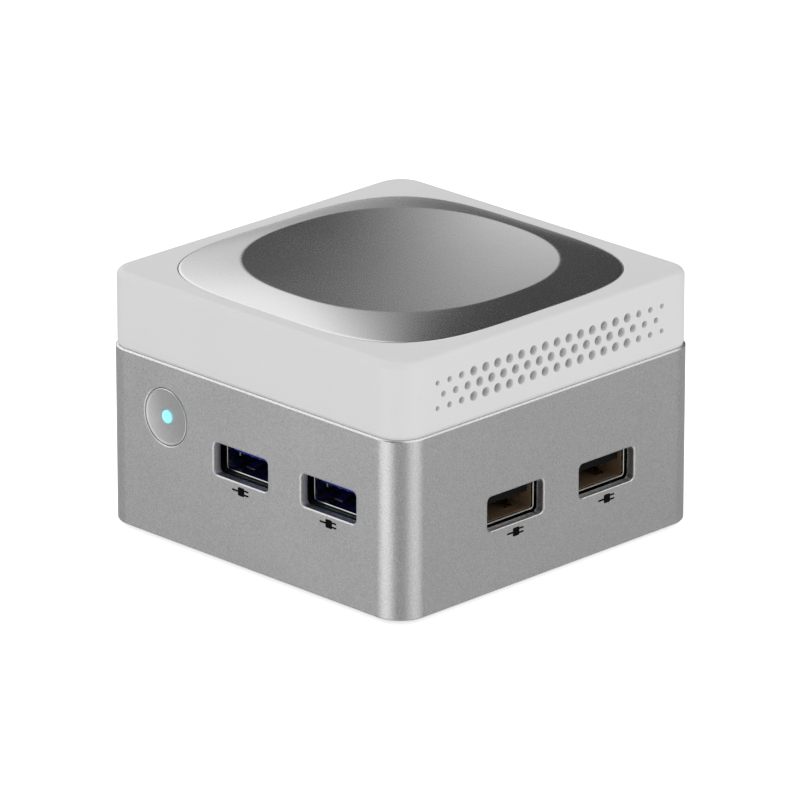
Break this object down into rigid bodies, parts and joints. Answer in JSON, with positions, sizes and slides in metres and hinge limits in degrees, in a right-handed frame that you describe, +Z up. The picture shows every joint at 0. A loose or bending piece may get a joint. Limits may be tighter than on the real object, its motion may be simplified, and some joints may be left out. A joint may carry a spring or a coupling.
{
  "type": "mini pc",
  "caption": "Palm-sized desktop computer: metal housing with sockets on all sides, vented white cover, silver dish on top, lit power button.",
  "frame": {"origin": "middle of the square footprint, on the plane the four rubber feet stand on", "axes": "+Z up; -Y is the front, with the power button and two blue sockets; +X is the vented side with two black sockets"},
  "size_m": [0.0724, 0.0724, 0.0481],
  "materials": {
    "housing_aluminium": "fine bead-blasted, clear anodised, satin",
    "cover_plastic": "smooth moulded white, satin",
    "dish_metal": "fine blasted silver, satin",
    "button_metal": "turned and blasted, satin",
    "light_pipe": "clear moulded lens, lit pale blue",
    "base_plastic": "fine spark-eroded texture",
    "foot_rubber": "moulded rubber",
    "black_screw": "black zinc plated",
    "steel_screw": "nickel plated",
    "socket_steel": "bright nickel-plated sheet steel",
    "blue_plastic": "moulded blue",
    "black_plastic": "moulded black",
    "circuit_board": "green solder mask on glass-epoxy board",
    "drive_board": "blue solder mask on glass-epoxy board",
    "chip_package": "black moulded epoxy",
    "thermal_pad": "soft grey silicone",
    "heatsink_aluminium": "extruded and skived",
    "fan_plastic": "moulded, slightly glossy blades",
    "led_body": "white ceramic-filled plastic",
    "cell_steel": "bright pressed steel",
    "antenna_foil": "copper film under clear varnish",
    "lead_jacket": "thin coaxial lead jacket"
  },
  "bodies": {
    "housing": {"body_shell": "housing_aluminium", "bottom_cover": "base_plastic", "foot_front_left": "foot_rubber", "foot_front_right": "foot_rubber", "foot_rear_left": "foot_rubber", "foot_rear_right": "foot_rubber", "case_screw_front_left": "black_screw", "case_screw_front_right": "black_screw", "case_screw_rear_left": "black_screw", "case_screw_rear_right": "black_screw", "top_cover": "cover_plastic", "top_dish": "dish_metal", "button_board": "circuit_board", "tact_switch": "socket_steel", "status_led": "led_body", "mainboard": "circuit_board", "board_screw_front_left": "steel_screw", "board_screw_front_right": "steel_screw", "board_screw_rear_left": "steel_screw", "board_screw_rear_right": "steel_screw", "usb3_shell_1": "socket_steel", "usb3_tongue_1": "blue_plastic", "usb3_shell_2": "socket_steel", "usb3_tongue_2": "blue_plastic", "usb2_shell_1": "socket_steel", "usb2_tongue_1": "black_plastic", "usb2_shell_2": "socket_steel", "usb2_tongue_2": "black_plastic", "hdmi_shell_1": "socket_steel", "hdmi_tongue_1": "black_plastic", "hdmi_shell_2": "socket_steel", "hdmi_tongue_2": "black_plastic", "usb_c_shell": "socket_steel", "usb_c_tongue": "black_plastic", "lan_jack": "socket_steel", "audio_jack": "black_plastic", "processor": "chip_package", "thermal_pad": "thermal_pad", "memory_chip_left": "chip_package", "memory_chip_right": "chip_package", "heatsink": "heatsink_aluminium", "fan_frame": "black_plastic", "fan_screw_1": "steel_screw", "fan_screw_2": "steel_screw", "fan_screw_3": "steel_screw", "fan_screw_4": "steel_screw", "m2_socket": "black_plastic", "ssd": "drive_board", "ssd_screw": "steel_screw", "wifi_module": "socket_steel", "coin_cell": "cell_steel", "antenna_front": "antenna_foil", "antenna_rear": "antenna_foil", "antenna_lead_front": "lead_jacket", "antenna_lead_rear": "lead_jacket"},
    "button": {"power_button": "button_metal", "button_light_pipe": "light_pipe", "tact_plunger": "black_plastic"},
    "rotor": {"fan_rotor": "fan_plastic"}
  },
  "joints": [
    {"name": "button_press", "type": "slide", "parent": "housing", "child": "button", "axis": [0, 1, 0], "range_m": [0, 0.0004], "stiffness_N_per_m": 800, "springref_m": -0.0005},
    {"name": "fan_spin", "type": "hinge", "parent": "housing", "child": "rotor", "pos_m": [0, 0.001, 0.034], "axis": [0, 0, 1], "continuous": true}
  ]
}
